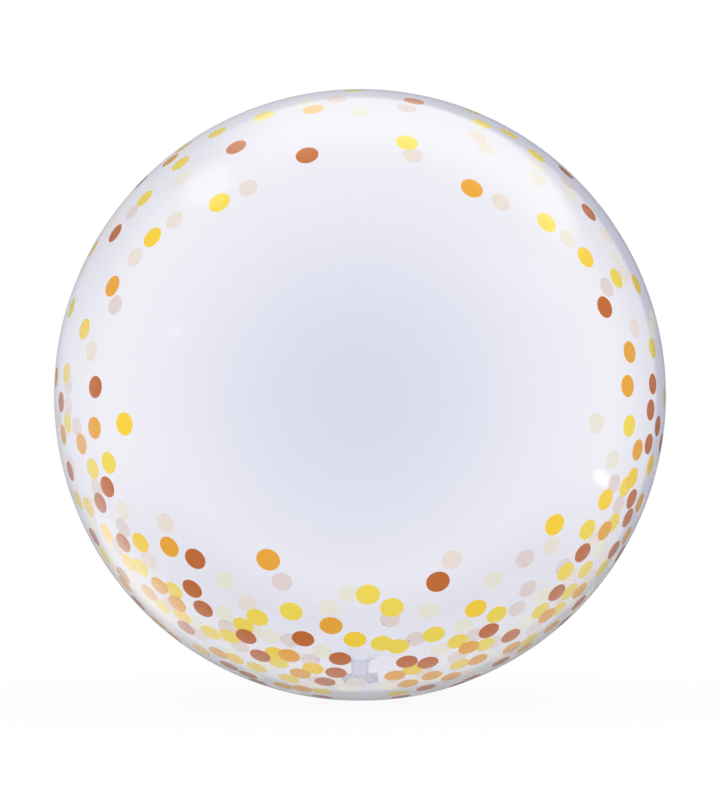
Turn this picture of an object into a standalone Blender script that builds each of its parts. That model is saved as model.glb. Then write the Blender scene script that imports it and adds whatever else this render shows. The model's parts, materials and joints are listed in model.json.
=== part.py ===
"""A clear bubble balloon, 24 inches across, resting on the floor on a small flat spot.

The balloon is one seamless piece of stretched film: a ball, a gathered funnel where the film was drawn
together, a short round neck, and a flat tail that bends down and lies on the floor behind.
Metres, +Z up. The origin is the middle of the flat spot; the photograph looks along +Y at the ball.
"""

import math

import bmesh
import bpy
from mathutils import Matrix, Vector
from mathutils.geometry import interpolate_bezier

# The ball: its radius, and the radius of the flat that its film makes on the floor
BALL_RADIUS = 0.305
FLAT_SPOT_RADIUS = 0.030

# The neck leaves the ball low at the back, as far round as its end's height above the floor allows. Its own
# radius and straight length, and the radius of the hollow curve that joins it to the ball
NECK_END_HEIGHT = 0.0165
NECK_RADIUS = 0.008
NECK_LENGTH = 0.004
FUNNEL_RADIUS = 0.024

# The tail: a flat tube of film. The bend's reach is how far back it runs before the tail lies flat, and its
# two pulls say how far it first follows the neck, as a share of the height, and then the floor, of the reach
TAIL_WIDTH = 0.038
TAIL_THICKNESS = 0.0016
TAIL_LENGTH = 0.085
BEND_REACH = 0.034
NECK_PULL = 0.55
FLOOR_PULL = 0.62

# The tube is pressed flat sooner than it widens, and its pressed section is rounded only at its two edges
PRESSING_LEAD = 1.6
PRESSED = 4.0

# Pleats of the gathered film: full depth at the neck, half of it where the hollow curve starts, and none at
# their reach up the ball
PLEAT_COUNT = 16
PLEAT_DEPTH = 0.0011
PLEAT_REACH = 0.040
PLEAT_AT_BALL = 0.5

# Faces of the mesh: points round each ring, rings along each stretch, and extra points on each edge round
# the flat spot, which make its outline round
RING_POINTS = 4 * PLEAT_COUNT
BALL_RINGS = 30
PLEATED_RINGS = 4
FUNNEL_RINGS = 6
BEND_RINGS = 9
TAIL_RINGS = 4
FOOT_CUTS = 3
SHARP_EDGE = math.radians(40.0)

FILM_COLOUR = (0.80, 0.82, 0.92)
FILM_ALPHA = 0.30
FILM_ROUGHNESS = 0.05


def clear_objects():
    """Removes whatever the file holds, so that only the balloon is left."""
    for thing in list(bpy.data.objects):
        bpy.data.objects.remove(thing, do_unlink=True)


def film_material():
    """Thin clear plastic with a faint lavender tint and a high gloss."""
    film = bpy.data.materials.new("clear_film")
    film.use_nodes = True
    shader = film.node_tree.nodes["Principled BSDF"]
    shader.inputs["Base Color"].default_value = (*FILM_COLOUR, 1.0)
    shader.inputs["Roughness"].default_value = FILM_ROUGHNESS
    shader.inputs["Metallic"].default_value = 0.0
    shader.inputs["Alpha"].default_value = FILM_ALPHA
    return film


def ball_centre():
    """The centre's height leaves a flat of the stated radius where the floor cuts the ball."""
    return Vector((0.0, 0.0, math.sqrt(BALL_RADIUS**2 - FLAT_SPOT_RADIUS**2)))


def neck_direction():
    """Tilted back from straight down until the neck's end is at its height above the floor."""
    cosine = (ball_centre().z - NECK_END_HEIGHT) / (funnel_height() + NECK_LENGTH)
    return Vector((0.0, math.sqrt(1.0 - cosine**2), -cosine))


def smooth(share):
    """0 to 1 with level ends."""
    share = min(1.0, max(0.0, share))
    return share * share * (3.0 - 2.0 * share)


def funnel_start():
    """The angle from the neck's axis at which the hollow curve touches the ball."""
    return math.asin((NECK_RADIUS + FUNNEL_RADIUS) / (BALL_RADIUS + FUNNEL_RADIUS))


def funnel_height():
    """How far along the neck's axis, from the ball's centre, the hollow curve meets the neck."""
    return math.sqrt((BALL_RADIUS + FUNNEL_RADIUS) ** 2 - (NECK_RADIUS + FUNNEL_RADIUS) ** 2)


def ball_profile():
    """(out, along, normal out, normal along, pleat share) of each ring from the far pole to the funnel."""
    reach_angle = funnel_start() + PLEAT_REACH / BALL_RADIUS
    angles = [math.pi + (reach_angle - math.pi) * i / BALL_RINGS for i in range(1, BALL_RINGS)]
    pleated = [reach_angle + (funnel_start() - reach_angle) * i / PLEATED_RINGS for i in range(PLEATED_RINGS)]
    rows = []
    for angle in angles + pleated:
        out, along = math.sin(angle), math.cos(angle)
        share = PLEAT_AT_BALL * smooth((reach_angle - angle) / (reach_angle - funnel_start()))
        rows.append((BALL_RADIUS * out, BALL_RADIUS * along, out, along, share))
    return rows


def funnel_profile():
    """The hollow curve: an arc about a centre outside the film, tangent to the ball and to the neck."""
    start = funnel_start()
    centre_out, centre_along = NECK_RADIUS + FUNNEL_RADIUS, funnel_height()
    rows = []
    for i in range(FUNNEL_RINGS + 1):
        share = i / FUNNEL_RINGS
        turn = start + (math.pi / 2 - start) * share
        normal_out, normal_along = math.sin(turn), math.cos(turn)
        out = centre_out - FUNNEL_RADIUS * normal_out
        along = centre_along - FUNNEL_RADIUS * normal_along
        pleat = PLEAT_AT_BALL + (1.0 - PLEAT_AT_BALL) * smooth(share)
        rows.append((out, along, normal_out, normal_along, pleat))
    return rows


def turned_rings():
    """Rings of the ball and the funnel round the neck's axis, with the pleats pushed along the normals."""
    axis = neck_direction()
    side = Vector((1.0, 0.0, 0.0))
    across = axis.cross(side)
    rings = []
    for out, along, normal_out, normal_along, share in ball_profile() + funnel_profile():
        ring = []
        for k in range(RING_POINTS):
            angle = 2.0 * math.pi * k / RING_POINTS
            lift = PLEAT_DEPTH * share * math.cos(PLEAT_COUNT * angle)
            round_out = side * math.cos(angle) + across * math.sin(angle)
            ring.append(
                ball_centre() + round_out * (out + lift * normal_out) + axis * (along + lift * normal_along)
            )
        rings.append(ring)
    return rings


def tail_path():
    """Points and directions from the neck's end down to the floor and back along it."""
    start = ball_centre() + neck_direction() * (funnel_height() + NECK_LENGTH)
    landing = Vector((0.0, start.y + BEND_REACH, TAIL_THICKNESS / 2))
    first_handle = start + neck_direction() * (start.z * NECK_PULL)
    last_handle = landing - Vector((0.0, BEND_REACH * FLOOR_PULL, 0.0))
    bend = interpolate_bezier(start, first_handle, last_handle, landing, BEND_RINGS)
    straight = [landing + Vector((0.0, TAIL_LENGTH * i / TAIL_RINGS, 0.0)) for i in range(1, TAIL_RINGS + 1)]
    points = bend + straight
    directions = [neck_direction()]
    directions += [(b - a).normalized() for a, b in zip(points[:-2], points[2:])]
    directions += [Vector((0.0, 1.0, 0.0))]
    for i in range(BEND_RINGS - 1, len(points)):
        directions[i] = Vector((0.0, 1.0, 0.0))
    return points, directions


def tail_rings():
    """Round at the neck, then a widening tube that is pressed flat by the time it meets the floor."""
    points, directions = tail_path()
    side = Vector((1.0, 0.0, 0.0))
    rings = []
    for i, (point, direction) in enumerate(zip(points, directions)):
        flatness = smooth(i / (BEND_RINGS - 1))
        half_width = NECK_RADIUS + (TAIL_WIDTH / 2 - NECK_RADIUS) * flatness
        thinness = smooth(PRESSING_LEAD * i / (BEND_RINGS - 1))
        half_height = NECK_RADIUS + (TAIL_THICKNESS / 2 - NECK_RADIUS) * thinness
        pressed = 1.0 + (PRESSED - 1.0) * flatness
        across = direction.cross(side)
        ring = []
        for k in range(RING_POINTS):
            angle = 2.0 * math.pi * k / RING_POINTS
            height = half_height * min(1.0, max(-1.0, pressed * math.sin(angle)))
            lift = PLEAT_DEPTH * (1.0 - flatness) ** 2 * math.cos(PLEAT_COUNT * angle)
            ring.append(
                point
                + side * (half_width * math.cos(angle) + lift * math.cos(angle))
                + across * (height + lift * math.sin(angle))
            )
        rings.append(ring)
    return rings


def loft(shape, rings, far_pole):
    """Joins ring to ring with quads, closes the far pole with a fan and the tail's mouth with one face."""
    made = [[shape.verts.new(point) for point in ring] for ring in rings]
    pole = shape.verts.new(far_pole)
    for k in range(RING_POINTS):
        after = (k + 1) % RING_POINTS
        shape.faces.new((pole, made[0][after], made[0][k]))
        for ring, following in zip(made[:-1], made[1:]):
            shape.faces.new((ring[k], ring[after], following[after], following[k]))
    shape.faces.new(made[-1])
    bmesh.ops.recalc_face_normals(shape, faces=shape.faces)


def refine_foot(shape):
    """Splits the ball's faces round its foot and puts the new points on the ball, so that the cut is round."""
    face_size = 2.0 * math.pi * BALL_RADIUS / RING_POINTS
    near = {v for v in shape.verts if v.co.length < FLAT_SPOT_RADIUS + face_size}
    edges = [e for e in shape.edges if e.verts[0] in near and e.verts[1] in near]
    split = bmesh.ops.subdivide_edges(shape, edges=edges, cuts=FOOT_CUTS, use_grid_fill=True)
    for point in split["geom_inner"]:
        if isinstance(point, bmesh.types.BMVert):
            outward = (point.co - ball_centre()).normalized()
            point.co = ball_centre() + outward * BALL_RADIUS


def cut_flat_spot(shape):
    """Slices the ball's underside off at the floor and fills the cut with one flat face."""
    cut = bmesh.ops.bisect_plane(
        shape,
        geom=shape.verts[:] + shape.edges[:] + shape.faces[:],
        plane_co=(0.0, 0.0, 0.0),
        plane_no=(0.0, 0.0, -1.0),
        clear_outer=True,
    )
    edges = [e for e in cut["geom_cut"] if isinstance(e, bmesh.types.BMEdge) and e.is_boundary]
    bmesh.ops.contextual_create(shape, geom=edges)
    bmesh.ops.recalc_face_normals(shape, faces=shape.faces)


def build_balloon():
    shape = bmesh.new()
    rings = turned_rings() + tail_rings()
    loft(shape, rings, ball_centre() - neck_direction() * BALL_RADIUS)
    refine_foot(shape)
    cut_flat_spot(shape)
    mesh = bpy.data.meshes.new("bubble")
    shape.to_mesh(mesh)
    shape.free()
    mesh.materials.append(film_material())
    mesh.shade_smooth()
    mesh.set_sharp_from_angle(angle=SHARP_EDGE)
    balloon = bpy.data.objects.new("bubble", mesh)
    balloon.matrix_world = Matrix.Identity(4)
    bpy.context.scene.collection.objects.link(balloon)
    return balloon


clear_objects()
build_balloon()
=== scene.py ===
"""A clear bubble balloon printed with confetti dots, in a white studio.

The film is one closed skin, worked out as a numpy grid round the neck's axis: a ball, a gathered funnel, a
short neck and a flat tail. The confetti is four inks printed under the film's gloss, each dot a thin cap that
follows the ball. Metres, +Z up. The camera looks along +Y.
"""

import json
import math

import bpy
import numpy as np
from bpy.props import FloatProperty, FloatVectorProperty, IntProperty, PointerProperty
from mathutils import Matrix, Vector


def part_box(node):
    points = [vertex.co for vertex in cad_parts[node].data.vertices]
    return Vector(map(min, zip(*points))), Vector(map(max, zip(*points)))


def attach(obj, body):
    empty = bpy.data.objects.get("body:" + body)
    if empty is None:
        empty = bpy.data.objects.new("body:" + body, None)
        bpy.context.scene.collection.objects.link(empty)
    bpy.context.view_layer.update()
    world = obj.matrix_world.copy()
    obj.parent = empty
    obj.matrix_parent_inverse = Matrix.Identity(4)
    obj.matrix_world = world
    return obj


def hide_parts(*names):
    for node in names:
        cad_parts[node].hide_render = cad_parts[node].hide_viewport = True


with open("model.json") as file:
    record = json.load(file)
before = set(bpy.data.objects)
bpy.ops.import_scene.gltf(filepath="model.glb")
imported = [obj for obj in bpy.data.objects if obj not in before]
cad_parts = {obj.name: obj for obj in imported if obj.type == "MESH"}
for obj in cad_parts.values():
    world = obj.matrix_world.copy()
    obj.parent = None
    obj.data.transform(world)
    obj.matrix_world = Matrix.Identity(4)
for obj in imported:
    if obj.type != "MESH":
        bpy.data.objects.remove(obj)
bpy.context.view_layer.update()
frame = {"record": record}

bl_info = {
    "name": "Clear bubble balloon",
    "version": (1, 0, 0),
    "blender": (4, 5, 0),
    "location": "3D View > Sidebar > Balloon",
    "description": "Builds a clear film balloon printed with confetti dots, and a white studio round it",
    "category": "Add Mesh",
}

# From the frame: the ball's radius and the height of its centre, and the middle of the tail's upper face
LOW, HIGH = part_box("bubble")
BALL_RADIUS = (HIGH.x - LOW.x) / 2
BALL_HEIGHT = HIGH.z - BALL_RADIUS
MOUNTS = {mount["name"]: mount for mount in frame["record"]["mounts"]}
TAIL_MIDDLE = MOUNTS["tail_face"]["pos_m"]

# Faces of the film: points round each ring, and rings along each stretch
RING_POINTS = 384
BALL_RINGS = 110
GATHERED_RINGS = 36
FUNNEL_RINGS = 22
BEND_RINGS = 24
TAIL_RINGS = 40

# How the tube goes from the neck to the flat tail, as in the solid: the bend's two pulls are shares of the
# height and of the reach, and the tube is pressed flat sooner than it widens
NECK_PULL = 0.55
FLOOR_PULL = 0.62
PRESSING_LEAD = 1.6

# Gathers of the film round the neck: how many, how deep beside the deepest, and where they start
PLEATS = ((16, 1.0, 0.0), (27, 0.45, 1.1), (43, 0.25, 2.3))
PLEAT_AT_BALL = 0.5

# How far the gathers open again by the time the tail lies flat
GATHERS_OPEN = 0.55

# The tail's ripples: radians along it, and how far the waves of its two edges are shifted, one each way. Its
# creases: radians across it, their slant, their depth beside the ripples' and how fast they fade
RIPPLE_RATE = 12.0
RIPPLE_OFFSET = 2.5
CREASE_RATE = 17.0
CREASE_SLANT = 4.0
CREASE_DEPTH = 0.4
CREASE_FADE = 3.0

# How far from the middle of the flat spot the film gives way to the floor, and how soft the flat's edge is
FOOT_REACH = 0.12
FOOT_SOFTNESS = 0.0006

# A dot's cap: its sides, how deep under the film the first ink lies, the step to the next ink, and how thick
# it is
DOT_SIDES = 18
PRINT_DEPTH = 0.00025
INK_STEP = 0.00012
INK_THICKNESS = 0.00005

# Edges of a cap that are sharper than this don't look rounded
SHARP_EDGE = math.radians(60.0)

# The inks' mottle: how fine it is, where on its noise it turns, and how far it goes to deeper and to paler
MOTTLE_SCALE = 900.0
MOTTLE_TURN = (0.25, 0.75)
DEEPER = 0.96
PALER = 1.03

# The inks, and the share of the crowd that each one prints
INKS = ("copper", "orange", "golden", "lemon")
INK_SHARES = (0.30, 0.22, 0.18, 0.30)

# Dots that stand alone on the side that faces the camera: millimetres right of the ball's centre and above it
FRONT_DOTS = {
    "copper": (
        (-53, 240), (-124, 248), (-245, 162), (-265, 8), (54, 294), (229, 183), (245, 88), (293, 11),
        (206, 223), (-253, -92), (-260, -108), (-165, -164), (-168, -194), (-157, -214), (-114, -242),
        (-57, -244), (-237, -148), (-174, -233), (-100, -261), (291, -15), (289, -49), (272, -104),
        (254, -155), (223, -158), (78, -187), (197, -198), (129, -236), (151, -241), (47, -267),
        (68, -268), (-35, -287), (-290, -76), (-299, -7), (-266, -142), (-222, -208), (-237, -180),
        (-131, -271), (-112, -280), (-102, -287), (-38, -302), (-20, -264), (-24, -278), (41, -302),
        (66, -293), (98, -289), (112, -283), (141, -267), (205, -226), (219, -208), (260, -159),
        (268, -123), (298, -31), (301, -48), (-219, 213),
    ),
    "orange": (
        (-248, 109), (-47, 286), (112, 207), (270, 43), (268, 9), (-266, -33), (-279, -49), (-191, -152),
        (-92, -165), (-201, -191), (-183, -209), (-29, -231), (-71, -261), (278, -55), (245, -136),
        (220, -196), (187, -221), (109, -253), (-60, -279), (72, -281), (118, -265), (-190, 235),
        (-304, 18), (-297, -40), (-235, -189), (-211, -198), (-142, -258), (-77, -291), (-202, -228),
        (-186, -242), (-58, -294), (35, -281), (48, -289), (91, -282), (152, -253), (165, -253),
        (192, -232), (267, -141), (280, -108), (295, 82),
    ),
    "golden": (
        (-208, 158), (226, 138), (277, 111), (-236, -29), (-220, -148), (-85, -259), (-5, -245),
        (246, -105), (195, -130), (116, -214), (53, -275), (-47, -274), (-276, 66), (-272, -112),
        (-254, -138), (-232, -168), (-178, -222), (-159, -255), (-126, -264), (38, -299), (273, -83),
        (291, -70),
    ),
    "lemon": (
        (-96, 280), (-143, 263), (-180, 232), (-141, 193), (-216, 197), (122, 272), (47, 253),
        (187, 173), (257, 117), (293, 47), (-252, -68), (-268, -74), (-187, -196), (-103, -223),
        (-69, -217), (-117, -231), (-150, -238), (-131, -242), (8, -200), (270, -31), (266, -92),
        (228, -135), (254, -128), (206, -177), (210, -197), (137, -220), (181, -216), (32, -213),
        (74, -240), (98, -247), (125, -250), (22, -249), (38, -252), (149, 262), (177, 240), (-82, -268),
        (100, -270), (-220, -173), (-289, 87), (-294, 22), (-293, -28), (-267, 147), (-282, -105),
        (-256, -160), (-198, -212), (-104, -273), (-71, -284), (-38, -297), (170, -245), (198, -215),
        (226, -175), (243, -173), (305, -2), (274, 136), (-7, 305), (112, 284), (-177, 248),
    ),
}

# The same for dots on the far side, which show through the film with their pale backs to the camera
FAR_DOTS = {
    "copper": (
        (247, 108), (-78, -187), (165, -164), (168, -194), (157, -214), (-245, 90), (30, -224),
        (-228, 183), (-292, -12), (-292, 10), (-133, -232), (97, -262), (115, -240), (254, -89),
        (259, -110), (47, 287), (56, -244), (-50, -265),
    ),
    "orange": (
        (-112, 207), (-186, 175), (-225, 138), (-269, 44), (92, -165), (53, 240), (246, 161),
        (-195, -128), (118, 259), (-113, -209), (235, -143), (141, 193), (275, 67),
    ),
    "golden": ((192, -151),),
    "lemon": (
        (-178, 217), (208, 157), (237, -28), (253, -65), (-135, -186), (-31, -213), (-11, -199),
        (69, -216), (0, 284), (179, 216), (-238, -116), (133, -185), (-38, -257), (-53, 293),
        (-90, -242), (-136, -219), (80, -255), (103, -231), (168, -227), (183, -200), (212, 199),
        (127, 247), (178, 230),
    ),
}

# Beyond the outline a crowd of dots carries the belt on round the far side. At the top and at the bottom of
# the ball: the belt's half width as a share of the radius, and the share of the film that dots cover
BELT_TOP = (0.30, 0.02)
BELT_BOTTOM = (0.62, 0.42)

# How many places are tried, and how much oftener one is kept than the cover asks, because many are then
# refused for what is near. The gaps kept to other dots are in dot widths, to the neck and the foot in metres
CROWD_TRIES = 9000
KEPT_OFTENER = 3.0
SAME_INK_GAP = 1.08
OTHER_INK_GAP = 0.72
CLEAR_OF_NECK = 0.072
CLEAR_OF_FOOT = 0.050

# The film's slant is 0 face on and 1 edge on. From where to where on it the rim, its low shoulder of painted
# shade, the painted shade at the lower right and its outermost line come in, and where the painted highlight
# at the left side goes out again
EDGE_RISE = (0.42, 0.70)
SHOULDER_RISE = (0.18, 0.36)
SHOULDER_FALL = (0.44, 0.62)
PAINTED_SHADE_RISE = (0.72, 0.785)
OUTLINE_RISE = (0.84, 0.93)
PAINTED_HIGHLIGHT_FALL = (0.90, 0.74)

# How far down from the ball's centre, as a share of the radius, the film's low part, with its painted shade
# and painted sheen, comes in
LOW_RISE = (0.15, 0.70)

# Which way from the ball's centre the painted shade at the lower right and the painted highlight at the left
# side lie, as shares to the right and down, and from where to where they come in that way
PAINTED_SHADE_WAY = (0.84, 0.54)
PAINTED_SHADE_WAY_RISE = (-1.0, 0.5)
PAINTED_HIGHLIGHT_WAY = (-0.94, 0.34)
PAINTED_HIGHLIGHT_WAY_RISE = (0.58, 0.90)

# What each part adds to the rim's share of the tint. The low parts and the part at the lower right are
# painted shade
TINT_PAINTED_SHADE_LOW = 0.04
TINT_PAINTED_SHADE_SHOULDER = 0.19
TINT_EDGE = 0.16
TINT_PAINTED_SHADE_LOW_EDGE = 0.16
TINT_PAINTED_SHADE = 0.40
TINT_OUTLINE = 0.10

# What each part adds to the share of haze. The low edge part is a painted sheen and the side edge part a
# painted highlight; the rest is the film's own haze
HAZE_EVERYWHERE = 0.004
HAZE_STREAKS = 0.008
HAZE_GATHERED = 0.32
HAZE_EDGE = 0.03
PAINTED_SHEEN_LOW_EDGE = 0.12
PAINTED_HIGHLIGHT_SIDE_EDGE = 0.20

# Noise in the film: how fine the cloud and the streaks are, the stretch that draws the streaks out upwards,
# and how much the cloud counts in the tint and the streaks in the gloss
CLOUD_SCALE = 5.0
STREAK_SCALE = 14.0
STREAK_STRETCH = (1.0, 1.0, 0.25)
CLOUD_IN_TINT = 0.10
STREAKS_IN_GLOSS = 0.3

# The gloss face on, what is added edge on, and the power of the slant that it and the clearing tint go by
SHINE_FACE_ON = 0.04
SHINE_EDGE_ON = 0.30
SLANT_POWER = 5.0

# The lamps as the film mirrors them. On the floor, in metres: middle, turn, half length and half width
LONG_LAMP = ((-0.45, 0.18), 2.36, 0.38, 0.15)
LONG_LAMP_LEVEL = 0.30
LOW_LAMP = ((0.89, 0.07), 0.0, 0.12, 0.12)

# In the room, as parts of a unit vector: how the big lamp fades in backwards, upwards and towards its aim,
# which leans right from overhead, and where it dims. Then the small lamp's oval and how its plane is tilted
BIG_LAMP_BACK = (0.05, 0.62)
BIG_LAMP_UP = (0.46, 0.57)
BIG_LAMP_AIM = (0.58, 0.88)
BIG_LAMP_LEAN = math.radians(18.0)
BIG_LAMP_LEVEL = 0.60
BIG_LAMP_DIMMING = 0.12
BIG_LAMP_DIM_END = (0.60, 0.85)
SIDE_LAMP = ((0.377, 0.0), 0.0, 0.30, 0.15)
SIDE_LAMP_TILT = (0.807, 0.59)
SIDE_LAMP_LEVEL = 0.42

# From where to where, forwards to backwards, the room turns from its front colour to the one behind
ROOM_TURN = (-0.6, 0.4)

# The floor: its half width in metres, far enough for its edge to lie out of sight, how much of it glows near
# the ball, and the squares of the distances between which all of it comes to glow
FLOOR_REACH = 60.0
FLOOR_GLOW = 0.86
FLOOR_FADE = (1.0, 25.0)
WHITE = (1.0, 1.0, 1.0)


class FilmShape(bpy.types.PropertyGroup):
    """Sizes of the film. The ball's own radius and height come from the frame."""

    neck_end_height: FloatProperty(
        name="Neck end", description="Height of the neck's end above the floor", default=0.0165, min=0.0,
        unit="LENGTH",
    )
    neck_radius: FloatProperty(
        name="Neck radius", description="Radius of the gathered neck", default=0.008, min=0.001,
        unit="LENGTH",
    )
    neck_length: FloatProperty(
        name="Neck length", description="Straight length of the neck", default=0.004, min=0.0,
        unit="LENGTH",
    )
    funnel_radius: FloatProperty(
        name="Funnel radius", description="Radius of the hollow curve from ball to neck", default=0.024,
        unit="LENGTH",
    )
    bend_reach: FloatProperty(
        name="Bend reach", description="How far back the neck runs before the tail lies flat",
        default=0.034, unit="LENGTH",
    )
    tail_width: FloatProperty(
        name="Tail width", description="Width of the tail when pressed flat", default=0.038,
        unit="LENGTH",
    )
    tail_thickness: FloatProperty(
        name="Tail thickness", description="Thickness of the two plies of the tail",
        default=TAIL_MIDDLE[2], unit="LENGTH",
    )
    tail_curl: FloatProperty(
        name="Tail curl", description="How high the tail's mouth curls off the floor", default=0.0035,
        unit="LENGTH",
    )
    tail_ripple: FloatProperty(
        name="Tail ripple", description="How high the tail's edges ripple", default=0.0012, unit="LENGTH",
    )
    pleat_depth: FloatProperty(
        name="Pleat depth", description="Depth of the deepest gathers at the neck", default=0.0010,
        unit="LENGTH",
    )
    pleat_reach: FloatProperty(
        name="Pleat reach", description="How far the gathers run up the ball", default=0.060,
        unit="LENGTH",
    )


class FilmLook(bpy.types.PropertyGroup):
    """Colours and gloss of the clear film."""

    face_on_tint: FloatVectorProperty(
        name="Face-on tint", description="Light let through where the film faces the eye",
        subtype="COLOR", default=(0.8455, 0.858, 0.934),
    )
    slanting_tint: FloatVectorProperty(
        name="Slanting tint", description="Light let through where the film slants", subtype="COLOR",
        default=(0.966, 0.959, 0.989),
    )
    rim_tint: FloatVectorProperty(
        name="Rim tint", description="Light let through where the film is seen edge on", subtype="COLOR",
        default=(0.61, 0.62, 0.72),
    )
    # Painted shade: a darker, greyer tint that the film's rim takes low down
    painted_shade_low_rim_tint: FloatVectorProperty(
        name="Low rim tint", description="The same low down, where the film picks up the inks' colours",
        subtype="COLOR", default=(0.59, 0.595, 0.60),
    )
    # This colour also serves the painted sheen low down and the painted highlight at the left side
    haze: FloatVectorProperty(
        name="Haze", description="Colour of the faint milky haze in the film", subtype="COLOR",
        default=(0.86, 0.87, 0.92),
    )
    roughness: FloatProperty(
        name="Roughness", description="Roughness of the film's gloss", default=0.03, min=0.0, max=1.0,
    )
    inner_gloss: FloatProperty(
        name="Inner gloss", description="Gloss of the film's inner side as a share of its outer side's",
        default=0.35, min=0.0, max=1.0,
    )


class ConfettiPrint(bpy.types.PropertyGroup):
    """The dots and their inks."""

    dot_diameter: FloatProperty(
        name="Dot", description="Diameter of a printed dot", default=0.025, min=0.002, unit="LENGTH",
    )
    narrowing: FloatProperty(
        name="Narrowing",
        description="How much narrower a dot is at the ball's outline, where the film is drawn out",
        default=0.19, min=0.0, max=1.0,
    )
    copper: FloatVectorProperty(
        name="Copper", description="Copper ink", subtype="COLOR", default=(0.565, 0.136, 0.001),
    )
    orange: FloatVectorProperty(
        name="Orange", description="Orange ink", subtype="COLOR", default=(0.865, 0.398, 0.004),
    )
    golden: FloatVectorProperty(
        name="Golden", description="Golden yellow ink", subtype="COLOR", default=(0.97, 0.660, 0.010),
    )
    lemon: FloatVectorProperty(
        name="Lemon", description="Lemon yellow ink", subtype="COLOR", default=(0.930, 0.730, 0.055),
    )
    copper_back: FloatVectorProperty(
        name="Copper back", description="Copper ink's white base coat", subtype="COLOR",
        default=(0.74, 0.65, 0.585),
    )
    orange_back: FloatVectorProperty(
        name="Orange back", description="Orange ink's white base coat", subtype="COLOR",
        default=(0.81, 0.735, 0.62),
    )
    golden_back: FloatVectorProperty(
        name="Golden back", description="Golden ink's white base coat", subtype="COLOR",
        default=(0.815, 0.755, 0.62),
    )
    lemon_back: FloatVectorProperty(
        name="Lemon back", description="Lemon ink's white base coat", subtype="COLOR",
        default=(0.80, 0.79, 0.635),
    )
    gloss: FloatProperty(
        name="Gloss", description="Gloss of the inks under the film's own", default=0.55, min=0.0,
        max=1.0,
    )
    seed: IntProperty(name="Seed", description="Seed of the crowd of dots", default=7)


class Studio(bpy.types.PropertyGroup):
    """The camera and the light."""

    camera_distance: FloatProperty(
        name="Camera distance", description="From the lens to the ball's centre", default=4.0,
        unit="LENGTH",
    )
    ball_share: FloatProperty(
        name="Ball's share", description="Width of the ball as a share of the picture's height",
        default=612 / 790,
    )
    ambient: FloatProperty(
        name="Ambient", description="White light from all round on matt surfaces", default=1.3, min=1.0,
    )
    lamp: FloatProperty(
        name="Lamp", description="Brightness of the soft lamps as the film mirrors them", default=4.5,
        min=0.0,
    )
    lamp_colour: FloatVectorProperty(
        name="Lamp colour", description="Colour of the soft lamps", subtype="COLOR",
        default=(1.0, 0.99, 0.84),
    )
    room_in_front: FloatVectorProperty(
        name="Room in front", description="Studio on the camera's side, as the film mirrors it",
        subtype="COLOR", default=(0.17, 0.175, 0.20),
    )
    room_behind: FloatVectorProperty(
        name="Room behind", description="Studio behind the balloon, as the film mirrors it",
        subtype="COLOR", default=(0.16, 0.165, 0.19),
    )
    floor_in_gloss: FloatVectorProperty(
        name="Floor in gloss", description="The floor as the film mirrors it", subtype="COLOR",
        default=(0.16, 0.165, 0.19),
    )


class Wire:
    """A node's output. Sums on it in Python add their Math nodes."""

    def __init__(self, nodes, socket):
        self.nodes = nodes
        self.socket = socket

    def beside(self, name):
        """Another output of the same node."""
        return Wire(self.nodes, self.socket.node.outputs[name])

    def __add__(self, other):
        return self.nodes.maths("ADD", self, other)

    __radd__ = __add__

    def __sub__(self, other):
        return self.nodes.maths("SUBTRACT", self, other)

    def __rsub__(self, other):
        return self.nodes.maths("SUBTRACT", other, self)

    def __mul__(self, other):
        return self.nodes.maths("MULTIPLY", self, other)

    __rmul__ = __mul__

    def __truediv__(self, other):
        return self.nodes.maths("DIVIDE", self, other)

    def __pow__(self, power):
        return self.nodes.maths("POWER", self, power)


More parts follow.
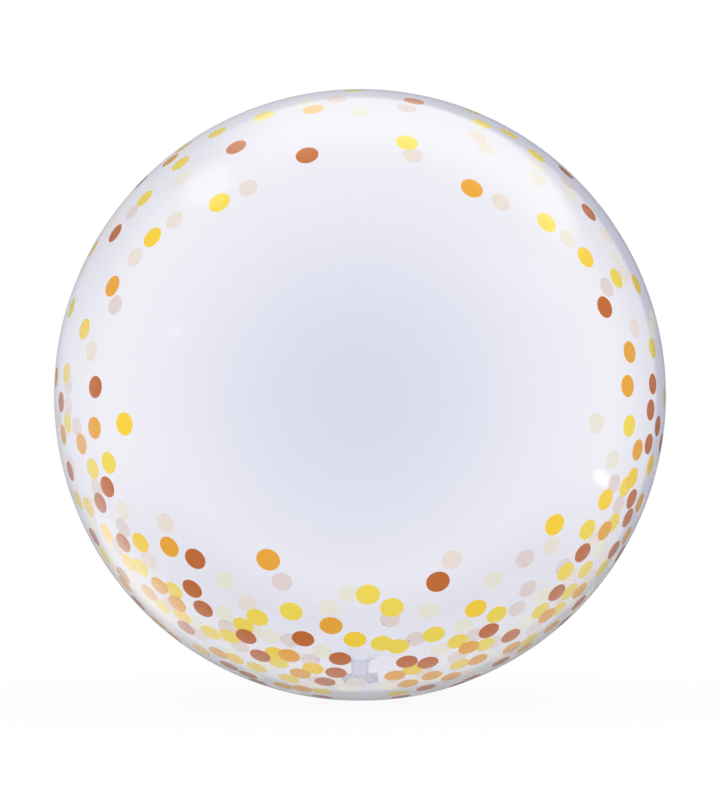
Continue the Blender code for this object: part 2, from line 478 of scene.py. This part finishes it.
class Nodes:
    """A material's or world's node tree, written as calls and sums."""

    def __init__(self, owner):
        owner.use_nodes = True
        self.tree = owner.node_tree
        self.tree.nodes.clear()

    def node(self, kind, settings=None, values=None, output=0):
        """Adds a node, sets its settings first, then its sockets' values or links, and gives an output."""
        made = self.tree.nodes.new(kind)
        for name, value in (settings or {}).items():
            setattr(made, name, value)
        for name, value in (values or {}).items():
            if isinstance(value, Wire):
                self.tree.links.new(value.socket, made.inputs[name])
            else:
                made.inputs[name].default_value = value
        return Wire(self, made.outputs[output]) if len(made.outputs) else None

    def maths(self, operation, first, second):
        return self.node("ShaderNodeMath", {"operation": operation}, {0: first, 1: second})

    def step(self, value, low, high):
        """0 at low and 1 at high, with a smooth rise between."""
        settings = {"interpolation_type": "SMOOTHSTEP"}
        return self.node("ShaderNodeMapRange", settings, {"Value": value, "From Min": low, "From Max": high})

    def place(self, kind="Object"):
        """The x, y and z of the object's own coordinates, or of a direction in the world."""
        x = self.node("ShaderNodeSeparateXYZ", None, {0: self.node("ShaderNodeTexCoord", output=kind)})
        return x, x.beside("Y"), x.beside("Z")

    def noise(self, scale, detail=2.0, stretch=(1.0, 1.0, 1.0)):
        """Noise on the object's own coordinates, 0 to 1."""
        place = self.node("ShaderNodeTexCoord", output="Object")
        place = self.node("ShaderNodeMapping", None, {"Vector": place, "Scale": stretch})
        return self.node("ShaderNodeTexNoise", None, {"Vector": place, "Scale": scale, "Detail": detail})

    def oval(self, x, y, middle, turn, length, width):
        """1 inside an oval of these half sizes in the plane of x and y, fading to 0 at its edge."""
        cosine, sine = math.cos(turn), math.sin(turn)
        along = (cosine * (x - middle[0]) + sine * (y - middle[1])) / length
        across = (cosine * (y - middle[1]) - sine * (x - middle[0])) / width
        return self.step(along * along + across * across, 1.0, 0.1)

    def transparent(self, tint):
        return self.node("ShaderNodeBsdfTransparent", None, {"Color": (*tint, 1.0)})

    def light(self, kind, colour, strength=1.0):
        """An emission on a surface or a background in the world, of one colour."""
        return self.node(kind, None, {"Color": (*colour, 1.0), "Strength": strength})

    def mix(self, factor, first, second):
        return self.node("ShaderNodeMixShader", None, {0: factor, 1: first, 2: second})

    def mix_colours(self, factor, first, second):
        settings = {"data_type": "RGBA", "clamp_factor": True}
        return self.node("ShaderNodeMix", settings, {0: factor, 6: first, 7: second}, 2)

    def surface(self, shader):
        self.node("ShaderNodeOutputMaterial", None, {"Surface": shader})


def smooth(share):
    """0 to 1 with level ends: 3 s^2 - 2 s^3."""
    share = np.clip(share, 0.0, 1.0)
    return share * share * (3.0 - 2.0 * share)


def ball_centre():
    return np.array([0.0, 0.0, BALL_HEIGHT])


def funnel_start(shape):
    """Angle from the neck's axis where the hollow curve touches the ball."""
    return math.asin((shape.neck_radius + shape.funnel_radius) / (BALL_RADIUS + shape.funnel_radius))


def neck_end(shape):
    """Distance of the neck's end from the ball's centre, along the neck's axis."""
    slope = BALL_RADIUS + shape.funnel_radius
    out = shape.neck_radius + shape.funnel_radius
    return math.sqrt(slope**2 - out**2) + shape.neck_length


def neck_axes(shape):
    """The neck's direction, tilted back until its end is at its height above the floor, and two across it."""
    cosine = (BALL_HEIGHT - shape.neck_end_height) / neck_end(shape)
    axis = np.array([0.0, math.sqrt(1.0 - cosine**2), -cosine])
    side = np.array([1.0, 0.0, 0.0])
    return axis, side, np.cross(axis, side)


def ball_profile(shape):
    """Rows of (out, along, normal out, normal along, gathered) on a circle, from far pole to funnel."""
    start = funnel_start(shape)
    reach = start + shape.pleat_reach / BALL_RADIUS
    plain = np.linspace(math.pi, reach, BALL_RINGS, endpoint=False)[1:]
    pleated = np.linspace(reach, start, GATHERED_RINGS, endpoint=False)
    angles = np.concatenate([plain, pleated])
    gathered = PLEAT_AT_BALL * smooth((reach - angles) / (reach - start)) ** 2
    out, along = np.sin(angles), np.cos(angles)
    return np.stack([BALL_RADIUS * out, BALL_RADIUS * along, out, along, gathered], axis=1)


def funnel_profile(shape):
    """The same rows on the hollow curve, an arc about a centre outside the film."""
    share = np.linspace(0.0, 1.0, FUNNEL_RINGS)
    turn = funnel_start(shape) + (math.pi / 2 - funnel_start(shape)) * share
    normal_out, normal_along = np.sin(turn), np.cos(turn)
    out = shape.neck_radius + shape.funnel_radius - shape.funnel_radius * normal_out
    along = neck_end(shape) - shape.neck_length - shape.funnel_radius * normal_along
    gathered = PLEAT_AT_BALL + (1.0 - PLEAT_AT_BALL) * smooth(share)
    return np.stack([out, along, normal_out, normal_along, gathered], axis=1)


def pleat_wave(angle):
    """Sharp outward creases: the sum over the gathers of 1 - 2 |sin(half of count times angle)|."""
    halves = [(depth, (count * angle + phase) / 2) for count, depth, phase in PLEATS]
    return sum(depth * (1.0 - 2.0 * np.abs(np.sin(half))) for depth, half in halves)


def ring_angles():
    return np.linspace(0.0, 2.0 * math.pi, RING_POINTS, endpoint=False)


def turned_rings(shape):
    """The profile turned round the neck's axis, each point pushed along its normal by the pleats."""
    profile = np.concatenate([ball_profile(shape), funnel_profile(shape)])
    out, along, normal_out, normal_along, gathered = profile.T[:, :, None]
    angle = ring_angles()[None, :]
    lift = shape.pleat_depth * gathered * pleat_wave(angle)
    axis, side, across = neck_axes(shape)
    round_out = side * np.cos(angle)[..., None] + across * np.sin(angle)[..., None]
    rings = (
        ball_centre()
        + round_out * (out + lift * normal_out)[..., None]
        + axis * (along + lift * normal_along)[..., None]
    )
    return rested(rings), np.broadcast_to(gathered, lift.shape)


def rested(points):
    """Near the foot the height z becomes (z + sqrt(z^2 + softness^2)) / 2, a flat spot with a soft edge."""
    near = np.hypot(points[..., 0], points[..., 1]) < FOOT_REACH
    height = points[..., 2]
    soft = (height + np.sqrt(height**2 + FOOT_SOFTNESS**2)) / 2
    return np.concatenate([points[..., :2], np.where(near, soft, height)[..., None]], axis=-1)


def tail_path(shape):
    """Points from the neck's end along a cubic Bezier curve to the floor, then straight back to the mouth."""
    axis = neck_axes(shape)[0]
    start = ball_centre() + axis * neck_end(shape)
    landing = np.array([0.0, start[1] + shape.bend_reach, shape.tail_thickness / 2])
    first = start + axis * start[2] * NECK_PULL
    last = landing - np.array([0.0, shape.bend_reach * FLOOR_PULL, 0.0])
    t = np.linspace(0.0, 1.0, BEND_RINGS)[:, None]
    bend = (1 - t) ** 3 * start + 3 * t * (1 - t) ** 2 * first + 3 * t**2 * (1 - t) * last + t**3 * landing
    length = 2.0 * (TAIL_MIDDLE[1] - landing[1])
    back = np.linspace(0.0, length, TAIL_RINGS + 1)[1:, None] * np.array([[0.0, 1.0, 0.0]])
    return np.concatenate([bend, landing + back])


def tail_directions(shape, points):
    """Unit directions along the path: the neck's own first, and level once the tail lies on the floor."""
    directions = np.gradient(points, axis=0)
    directions[0] = neck_axes(shape)[0]
    directions[BEND_RINGS - 1 :] = (0.0, 1.0, 0.0)
    return directions / np.linalg.norm(directions, axis=1)[:, None]


def tail_lift(shape, ring, angle, flatness):
    """How high the film stands over the flat tail.

    The sum of sine ripples along both edges, cosine creases that fade away from the neck, and a curl of the
    mouth that grows with the square of the way along. All of them only lift, so the tail never dips into the
    floor.
    """
    along = np.clip((ring - BEND_RINGS) / TAIL_RINGS, 0.0, 1.0)
    width = np.cos(angle)
    waves = 1.0 + np.sin(RIPPLE_RATE * along + RIPPLE_OFFSET * np.sign(width))
    ripple = shape.tail_ripple * flatness * np.abs(width) ** 3 * waves
    folds = 1.0 + np.cos(CREASE_RATE * width + CREASE_SLANT * along)
    creases = CREASE_DEPTH * shape.tail_ripple * flatness * np.exp(-CREASE_FADE * along) * folds
    return ripple + creases + shape.tail_curl * along**2


def tail_rings(shape):
    """Ellipses along the path: round at the neck, then wide and thin."""
    points = tail_path(shape)
    ring = np.arange(len(points))[:, None]
    flatness = smooth(ring / (BEND_RINGS - 1))
    thinness = smooth(PRESSING_LEAD * ring / (BEND_RINGS - 1))
    half_width = shape.neck_radius + (shape.tail_width / 2 - shape.neck_radius) * flatness
    half_height = shape.neck_radius + (shape.tail_thickness / 2 - shape.neck_radius) * thinness
    angle = ring_angles()[None, :]
    lift = shape.pleat_depth * (1.0 - flatness) ** 2 * pleat_wave(angle)
    side = np.array([1.0, 0.0, 0.0])
    across = np.cross(tail_directions(shape, points), side)
    rings = (
        points[:, None, :]
        + side * ((half_width + lift) * np.cos(angle))[..., None]
        + across[:, None, :] * ((half_height + lift) * np.sin(angle))[..., None]
    )
    rings[..., 2] += tail_lift(shape, ring, angle, flatness)
    gathered = np.broadcast_to(1.0 - GATHERS_OPEN * smooth(ring / BEND_RINGS), lift.shape)
    return rings, gathered


def skin_mesh(name, rings, first_pole, last_pole):
    """Joins each ring of the grid to the next with quads and closes both ends with fans round a pole."""
    rows, columns = rings.shape[:2]
    index = np.arange(rows * columns).reshape(rows, columns)
    after = np.roll(index, -1, axis=1)
    quads = np.stack([index[:-1], after[:-1], after[1:], index[1:]], axis=-1).reshape(-1, 4)
    first = np.stack([np.full(columns, rows * columns), after[0], index[0]], axis=-1)
    last = np.stack([np.full(columns, rows * columns + 1), index[-1], after[-1]], axis=-1)
    places = np.concatenate([rings.reshape(-1, 3), [first_pole, last_pole]])
    mesh = bpy.data.meshes.new(name)
    mesh.from_pydata(places.tolist(), [], quads.tolist() + first.tolist() + last.tolist())
    mesh.shade_smooth()
    return mesh


def film_mesh(shape):
    """The whole skin, with how far it is gathered kept at each point."""
    ball, ball_gathered = turned_rings(shape)
    tail, tail_gathered = tail_rings(shape)
    rings = np.concatenate([ball, tail])
    gathered = np.concatenate([ball_gathered, tail_gathered])
    far_pole = ball_centre() - neck_axes(shape)[0] * BALL_RADIUS
    mesh = skin_mesh("bubble_film", rings, far_pole, tail[-1].mean(axis=0))
    values = np.concatenate([gathered.ravel(), [0.0, gathered[-1, 0]]])
    mesh.attributes.new("gathered", "FLOAT", "POINT").data.foreach_set("value", values.astype(np.float32))
    return mesh


def rim_share(nodes, slant, low, edge, shade_way):
    """How far the film's tint is that of its rim.

    More low down, where a shoulder comes before the rim, and most in a part that comes in towards the lower
    right; both are painted shade. A little more in the outermost line.
    """
    shoulder = nodes.step(slant, *SHOULDER_RISE) - nodes.step(slant, *SHOULDER_FALL)
    # Painted shade: a darker tint near the rim towards the lower right
    painted_shade = nodes.step(shade_way, *PAINTED_SHADE_WAY_RISE) * nodes.step(slant, *PAINTED_SHADE_RISE)
    # Painted shade: a darker tint low down, most in a shoulder before the rim
    rim = (TINT_PAINTED_SHADE_LOW + TINT_PAINTED_SHADE_SHOULDER * shoulder) * low + (TINT_EDGE + TINT_PAINTED_SHADE_LOW_EDGE * low) * edge
    return rim + TINT_PAINTED_SHADE * painted_shade + TINT_OUTLINE * nodes.step(slant, *OUTLINE_RISE)


def haze_and_painted_light_share(nodes, slant, low, edge, highlight_way, streaks):
    """How much of the film is haze, with a painted sheen and a painted highlight in it.

    A trace in faint streaks, more where the film is gathered, and a veil near the rim. Low down the veil is
    thickened by a painted sheen, and at the left by a painted highlight.
    """
    gathered = nodes.node("ShaderNodeAttribute", {"attribute_name": "gathered"}, None, "Fac")
    # Painted highlight: a pale veil near the rim at the left side
    side = nodes.step(highlight_way, *PAINTED_HIGHLIGHT_WAY_RISE) * nodes.step(slant, *PAINTED_HIGHLIGHT_FALL)
    # Painted sheen: a thicker pale veil near the rim low down
    veil = (HAZE_EDGE + PAINTED_SHEEN_LOW_EDGE * low + PAINTED_HIGHLIGHT_SIDE_EDGE * side) * edge
    return HAZE_EVERYWHERE + HAZE_STREAKS * streaks + HAZE_GATHERED * gathered + veil


def film_gloss(nodes, look, height):
    """Sharp gloss on film that is never quite even."""
    waviness = nodes.node("ShaderNodeBump", None, {"Strength": 0.04, "Distance": 0.002, "Height": height})
    return nodes.node("ShaderNodeBsdfGlossy", None, {"Roughness": look.roughness, "Normal": waviness})


def film_material(look):
    """Clear film.

    See-through, with a tint that clears as the film slants and greys where it is seen edge on, a faint haze
    that thickens where the film is gathered, and gloss that grows with the slant. Painted shade darkens the
    tint low down and at the lower right, a painted sheen pales the rim low down and a painted highlight pales
    it at the left.
    """
    material = bpy.data.materials.new("clear_film")
    nodes = Nodes(material)
    slant = nodes.node("ShaderNodeLayerWeight", None, {"Blend": 0.5}, "Facing")
    inside = nodes.node("ShaderNodeNewGeometry", None, None, "Backfacing")
    right, _, up = nodes.place()
    right = right / BALL_RADIUS
    down = (BALL_HEIGHT - up) / BALL_RADIUS
    # Low down the film carries painted shade in its tint and a painted sheen in its haze
    low = nodes.step(down, *LOW_RISE)
    edge = nodes.step(slant, *EDGE_RISE)
    # The ways to the painted shade at the lower right and to the painted highlight at the left side
    shade_way = PAINTED_SHADE_WAY[0] * right + PAINTED_SHADE_WAY[1] * down
    highlight_way = PAINTED_HIGHLIGHT_WAY[0] * right + PAINTED_HIGHLIGHT_WAY[1] * down
    cloud = nodes.noise(CLOUD_SCALE)
    streaks = nodes.noise(STREAK_SCALE, 3.0, STREAK_STRETCH)
    clearing = 1 - (1 - slant) ** SLANT_POWER + CLOUD_IN_TINT * (cloud - 0.5)
    middle = nodes.mix(clearing, nodes.transparent(look.face_on_tint), nodes.transparent(look.slanting_tint))
    # Low down the rim takes the painted shade's darker tint
    outline = nodes.mix(low * edge, nodes.transparent(look.rim_tint), nodes.transparent(look.painted_shade_low_rim_tint))
    clear = nodes.mix(rim_share(nodes, slant, low, edge, shade_way), middle, outline)
    values = {"Base Color": (*look.haze, 1.0), "Roughness": 0.5, "Specular IOR Level": 0.2}
    haze = nodes.node("ShaderNodeBsdfPrincipled", None, values)
    # The haze's share, with the painted sheen low down and the painted highlight at the left side
    milky = haze_and_painted_light_share(nodes, slant, low, edge, highlight_way, streaks)
    gloss = film_gloss(nodes, look, cloud + STREAKS_IN_GLOSS * streaks)
    shine = (SHINE_FACE_ON + SHINE_EDGE_ON * slant**SLANT_POWER) * (1 - (1 - look.inner_gloss) * inside)
    nodes.surface(nodes.mix(shine, nodes.mix(milky, clear, haze), gloss))
    return material


def seen_directions(places, far, distance):
    """Directions from the ball's centre to the dots seen at these places, in millimetres.

    Each line of sight runs from the camera through the place in the plane of the ball's centre. It meets the
    ball twice, nearer on the front and farther on the far side, at the roots of a quadratic.
    """
    places = np.array(places, float) / 1000.0
    camera = np.array([0.0, -distance, 0.0])
    sight = np.stack([places[:, 0], np.full(len(places), distance), places[:, 1]], axis=1)
    sight /= np.linalg.norm(sight, axis=1)[:, None]
    half = sight @ camera
    root = np.sqrt(np.maximum(half**2 - distance**2 + BALL_RADIUS**2, 0.0))
    reach = -half + (root if far else -root)
    directions = camera + sight * reach[:, None]
    return directions / np.linalg.norm(directions, axis=1)[:, None]


def placed_dots(distance):
    """Every dot given in the tables, as directions and ink numbers."""
    directions, inks = [], []
    for number, ink in enumerate(INKS):
        for places, far in ((FRONT_DOTS[ink], False), (FAR_DOTS[ink], True)):
            directions.append(seen_directions(places, far, distance))
            inks.append(np.full(len(places), number))
    return np.concatenate(directions), np.concatenate(inks)


def belt_cover(direction):
    """Share of the film that dots cover there: a belt edge on to the camera, wider and denser lower down."""
    lowness = (1.0 - direction[2] / math.hypot(direction[0], direction[2])) / 2
    half_width = BELT_TOP[0] + (BELT_BOTTOM[0] - BELT_TOP[0]) * lowness**2
    cover = BELT_TOP[1] + (BELT_BOTTOM[1] - BELT_TOP[1]) * lowness**3
    return cover * float(1.0 - smooth((abs(direction[1]) / half_width - 0.5) / 0.5))


def too_near(direction, ink, directions, inks, neck, dot_angle):
    """Whether a dot there would touch the neck or the foot, or crowd another dot."""
    if math.acos(min(1.0, direction @ neck)) * BALL_RADIUS < CLEAR_OF_NECK:
        return True
    if math.acos(-direction[2]) * BALL_RADIUS < CLEAR_OF_FOOT:
        return True
    apart = np.arccos(np.clip(np.array(directions) @ direction, -1.0, 1.0)) / dot_angle
    return bool((apart < np.where(np.array(inks) == ink, SAME_INK_GAP, OTHER_INK_GAP)).any())


def crowd_of_dots(confetti, shape, distance):
    """Adds dots at random round the belt beyond the outline, clear of one another, the neck and the foot."""
    directions, inks = placed_dots(distance)
    directions, inks = list(directions), list(inks)
    neck = neck_axes(shape)[0]
    random = np.random.default_rng(confetti.seed)
    dot_angle = confetti.dot_diameter / BALL_RADIUS
    dots_to_cover_the_ball = 16.0 / dot_angle**2
    beyond_the_outline = dot_angle / 2 - BALL_RADIUS / distance
    for _ in range(CROWD_TRIES):
        y = random.uniform(-1.0, 1.0)
        clock = random.uniform(0.0, 2.0 * math.pi)
        ink = int(random.choice(len(INKS), p=INK_SHARES))
        chance = random.uniform()
        flat = math.sqrt(1.0 - y * y)
        direction = np.array([flat * math.sin(clock), y, flat * math.cos(clock)])
        if y < beyond_the_outline:
            continue
        if chance > belt_cover(direction) * dots_to_cover_the_ball / CROWD_TRIES * KEPT_OFTENER:
            continue
        if too_near(direction, ink, directions, inks, neck, dot_angle):
            continue
        directions.append(direction)
        inks.append(ink)
    return np.array(directions), np.array(inks)


def cap_faces():
    """The outer fan, the quads round it and the inner fan of one cap.

    Its points are the inner ring, the edge, the outer middle and the inner middle.
    """
    k = np.arange(DOT_SIDES)
    after = np.roll(k, -1)
    fan = np.stack([np.full(DOT_SIDES, 2 * DOT_SIDES), k, after], axis=1)
    quads = np.stack([k, k + DOT_SIDES, after + DOT_SIDES, after], axis=1)
    back = np.stack([np.full(DOT_SIDES, 2 * DOT_SIDES + 1), after + DOT_SIDES, k + DOT_SIDES], axis=1)
    return fan, quads, back


def dots_mesh(name, directions, diameter, narrowing, depth):
    """One closed cap a dot: an outer fan and a ring of quads that follow the ball, and an inner fan.

    A point of a cap is the ball's centre plus the radius times the unit vector along
    c + r (cos(a) s + sin(a) w t), where c is the dot's direction, s points across c towards the outline, t
    across both, r is half the dot's angle at the edge and half of that at the ring inside it, a is the angle
    round the dot and w its width as a share of its length.
    """
    count = len(directions)
    outwards = np.array([0.0, 1.0, 0.0]) - directions * directions[:, 1:2]
    outwards /= np.linalg.norm(outwards, axis=1)[:, None]
    along = np.cross(directions, outwards) * (1.0 - narrowing * (1.0 - directions[:, 1:2] ** 2))
    angle = np.linspace(0.0, 2.0 * math.pi, DOT_SIDES, endpoint=False)
    around = outwards[:, None] * np.cos(angle)[:, None] + along[:, None] * np.sin(angle)[:, None]
    edge = diameter / 2 / BALL_RADIUS
    rings = [directions[:, None] + around * r for r in (edge / 2, edge)]
    rings = [ring / np.linalg.norm(ring, axis=2)[..., None] for ring in rings]
    outer = BALL_RADIUS - depth
    inner = outer - INK_THICKNESS
    middles = [directions[:, None] * outer, directions[:, None] * inner]
    places = ball_centre() + np.concatenate([rings[0] * outer, rings[1] * outer] + middles, axis=1)
    offset = (np.arange(count) * places.shape[1])[:, None, None]
    fans, sides, backs = [(offset + faces).reshape(-1, faces.shape[1]).tolist() for faces in cap_faces()]
    mesh = bpy.data.meshes.new(name)
    mesh.from_pydata(places.reshape(-1, 3).tolist(), [], fans + sides + backs)
    on_back = np.concatenate([np.zeros(len(fans) + len(sides), int), np.ones(len(backs), int)])
    mesh.polygons.foreach_set("material_index", on_back)
    mesh.shade_smooth()
    mesh.set_sharp_from_angle(angle=SHARP_EDGE)
    return mesh


def ink_material(name, colour, gloss):
    """Printed ink: even, with a fine mottle and a slightly uneven sheen."""
    material = bpy.data.materials.new(name)
    nodes = Nodes(material)
    mottle = nodes.noise(MOTTLE_SCALE)
    paler = tuple(min(1.0, PALER * c) for c in colour)
    deeper = tuple(DEEPER * c for c in colour)
    mixed = nodes.mix_colours(nodes.step(mottle, *MOTTLE_TURN), (*deeper, 1.0), (*paler, 1.0))
    shader = nodes.node(
        "ShaderNodeBsdfPrincipled",
        None,
        {"Base Color": mixed, "Roughness": 0.25 + 0.15 * mottle, "Specular IOR Level": gloss},
    )
    nodes.surface(shader)
    return material


def piece(name, mesh, materials):
    """Puts a mesh in the scene as a piece that rides on the balloon and takes its finish from a slot."""
    for material in materials:
        mesh.materials.append(material)
    made = bpy.data.objects.new(name, mesh)
    bpy.context.scene.collection.objects.link(made)
    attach(made, "root")
    return made


class BALLOON_OT_film(bpy.types.Operator):
    """Makes the clear skin of the balloon"""

    bl_idname = "balloon.film"
    bl_label = "Make the film"

    def execute(self, context):
        mesh = film_mesh(context.scene.balloon_shape)
        film = piece("bubble_film", mesh, [film_material(context.scene.balloon_film)])
        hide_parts("bubble")
        return {"FINISHED"}


class BALLOON_OT_confetti(bpy.types.Operator):
    """Prints the dots, one piece for each ink"""

    bl_idname = "balloon.confetti"
    bl_label = "Print the confetti"

    def execute(self, context):
        confetti = context.scene.balloon_print
        distance = context.scene.balloon_studio.camera_distance
        directions, inks = crowd_of_dots(confetti, context.scene.balloon_shape, distance)
        for number, ink in enumerate(INKS):
            name = "confetti_" + ink
            depth = PRINT_DEPTH + INK_STEP * number
            own = directions[inks == number]
            mesh = dots_mesh(name, own, confetti.dot_diameter, confetti.narrowing, depth)
            front = ink_material("ink_" + ink, getattr(confetti, ink), confetti.gloss)
            back = ink_material("back_of_" + ink, getattr(confetti, ink + "_back"), 0.0)
            piece(name, mesh, [front, back])
        return {"FINISHED"}


def floor_mesh(size):
    """A square grid of four quads on the floor, its middle under the ball."""
    across, back = np.meshgrid(np.linspace(-size, size, 3), np.linspace(-size, size, 3))
    places = np.stack([across, back, np.zeros((3, 3))], axis=-1).reshape(-1, 3)
    index = np.arange(9).reshape(3, 3)
    quads = np.stack([index[:-1, :-1], index[:-1, 1:], index[1:, 1:], index[1:, :-1]], axis=-1).reshape(-1, 4)
    mesh = bpy.data.meshes.new("floor")
    mesh.from_pydata(places.tolist(), [], quads.tolist())
    return mesh


def floor_material(studio):
    """A white light table.

    The camera sees it as white as the backdrop, mostly by its own glow, so that shadows on it are faint. What
    the film mirrors of it is grey, with a long faint lamp on the left and a small bright one on the right.
    """
    material = bpy.data.materials.new("studio_floor")
    nodes = Nodes(material)
    white = 1.0 / studio.ambient
    matt = nodes.node("ShaderNodeBsdfDiffuse", None, {"Color": (white, white, white, 1.0)})
    glow = nodes.light("ShaderNodeEmission", WHITE)
    light = nodes.light("ShaderNodeEmission", WHITE, studio.ambient)
    right, back, _ = nodes.place()
    grey = nodes.light("ShaderNodeEmission", studio.floor_in_gloss)
    lamp = nodes.light("ShaderNodeEmission", studio.lamp_colour, studio.lamp)
    lamps = LONG_LAMP_LEVEL * nodes.oval(right, back, *LONG_LAMP) + nodes.oval(right, back, *LOW_LAMP)
    mirrored = nodes.mix(lamps, grey, lamp)
    ray = nodes.node("ShaderNodeLightPath", output="Is Camera Ray")
    unseen = nodes.mix(ray.beside("Is Glossy Ray"), light, mirrored)
    glowing = FLOOR_GLOW + (1.0 - FLOOR_GLOW) * nodes.step(right * right + back * back, *FLOOR_FADE)
    nodes.surface(nodes.mix(ray, unseen, nodes.mix(glowing, matt, glow)))
    return material


def lamps_in_the_room(nodes, right, back, up):
    """How much of what is mirrored that way is lamp.

    The big lamp reaches from overhead to behind the ball, right of its top. Its near edge fades, its level
    far edge is sharper, and it dims a little towards that edge. A small oval one stands at the left.
    """
    aim = right * math.sin(BIG_LAMP_LEAN) + up * math.cos(BIG_LAMP_LEAN)
    aim = aim / (right * right + up * up) ** 0.5
    big = nodes.step(back, *BIG_LAMP_BACK) * nodes.step(up, *BIG_LAMP_UP) * nodes.step(aim, *BIG_LAMP_AIM)
    big = big * (BIG_LAMP_LEVEL - BIG_LAMP_DIMMING * nodes.step(back, *BIG_LAMP_DIM_END))
    across = SIDE_LAMP_TILT[0] * right + SIDE_LAMP_TILT[1] * up
    small = nodes.oval(back, across, *SIDE_LAMP) * nodes.step(right, 0.0, -0.1)
    return big + SIDE_LAMP_LEVEL * small * small


def studio_world(studio):
    """White to the camera and to matt surfaces. What gloss mirrors is a grey room with two soft lamps."""
    world = bpy.data.worlds.new("studio")
    nodes = Nodes(world)
    right, back, up = nodes.place("Generated")
    front, behind = (*studio.room_in_front, 1.0), (*studio.room_behind, 1.0)
    room = nodes.mix_colours(nodes.step(back, *ROOM_TURN), front, behind)
    room = nodes.node("ShaderNodeBackground", None, {"Color": room})
    lamp = nodes.light("ShaderNodeBackground", studio.lamp_colour, studio.lamp)
    mirrored = nodes.mix(lamps_in_the_room(nodes, right, back, up), room, lamp)
    ambient = nodes.light("ShaderNodeBackground", WHITE, studio.ambient)
    backdrop = nodes.light("ShaderNodeBackground", WHITE)
    ray = nodes.node("ShaderNodeLightPath", output="Is Camera Ray")
    light = nodes.mix(ray.beside("Is Glossy Ray"), ambient, mirrored)
    nodes.node("ShaderNodeOutputWorld", None, {"Surface": nodes.mix(ray, light, backdrop)})
    return world


def studio_camera(studio):
    """Level with the ball's centre. The lens gives the ball its share of the picture's longer side."""
    data = bpy.data.cameras.new("camera")
    outline = math.tan(math.asin(BALL_RADIUS / studio.camera_distance))
    data.sensor_width = 36.0
    data.lens = data.sensor_width * studio.ball_share / (2.0 * outline)
    camera = bpy.data.objects.new("camera", data)
    camera.location = (0.0, -studio.camera_distance, BALL_HEIGHT)
    camera.rotation_euler = (math.pi / 2, 0.0, 0.0)
    return camera


class BALLOON_OT_studio(bpy.types.Operator):
    """Makes the white floor, the soft light and the camera"""

    bl_idname = "balloon.studio"
    bl_label = "Set up the studio"

    def execute(self, context):
        scene = context.scene
        studio = scene.balloon_studio
        floor = bpy.data.objects.new("floor", floor_mesh(FLOOR_REACH))
        floor.data.materials.append(floor_material(studio))
        scene.collection.objects.link(floor)
        scene.world = studio_world(studio)
        scene.camera = studio_camera(studio)
        scene.collection.objects.link(scene.camera)
        scene.view_settings.view_transform = "Standard"
        return {"FINISHED"}


class BALLOON_PT_build(bpy.types.Panel):
    """Lists the balloon's sizes and the steps that build it"""

    bl_idname = "BALLOON_PT_build"
    bl_label = "Bubble balloon"
    bl_space_type = "VIEW_3D"
    bl_region_type = "UI"
    bl_category = "Balloon"

    def draw(self, context):
        for name in SETTINGS:
            settings = getattr(context.scene, name)
            for key in settings.__annotations__:
                self.layout.prop(settings, key)
        for operator in OPERATORS:
            self.layout.operator(operator.bl_idname)


SETTINGS = {
    "balloon_shape": FilmShape,
    "balloon_film": FilmLook,
    "balloon_print": ConfettiPrint,
    "balloon_studio": Studio,
}
OPERATORS = (BALLOON_OT_film, BALLOON_OT_confetti, BALLOON_OT_studio)
CLASSES = (*SETTINGS.values(), *OPERATORS, BALLOON_PT_build)


def register():
    for made in CLASSES:
        bpy.utils.register_class(made)
    for name, group in SETTINGS.items():
        setattr(bpy.types.Scene, name, PointerProperty(type=group))


def unregister():
    for name in SETTINGS:
        delattr(bpy.types.Scene, name)
    for made in reversed(CLASSES):
        bpy.utils.unregister_class(made)


def main():
    """Builds the balloon and the studio."""
    register()
    bpy.ops.balloon.film()
    bpy.ops.balloon.confetti()
    bpy.ops.balloon.studio()


if __name__ == "__main__":
    main()
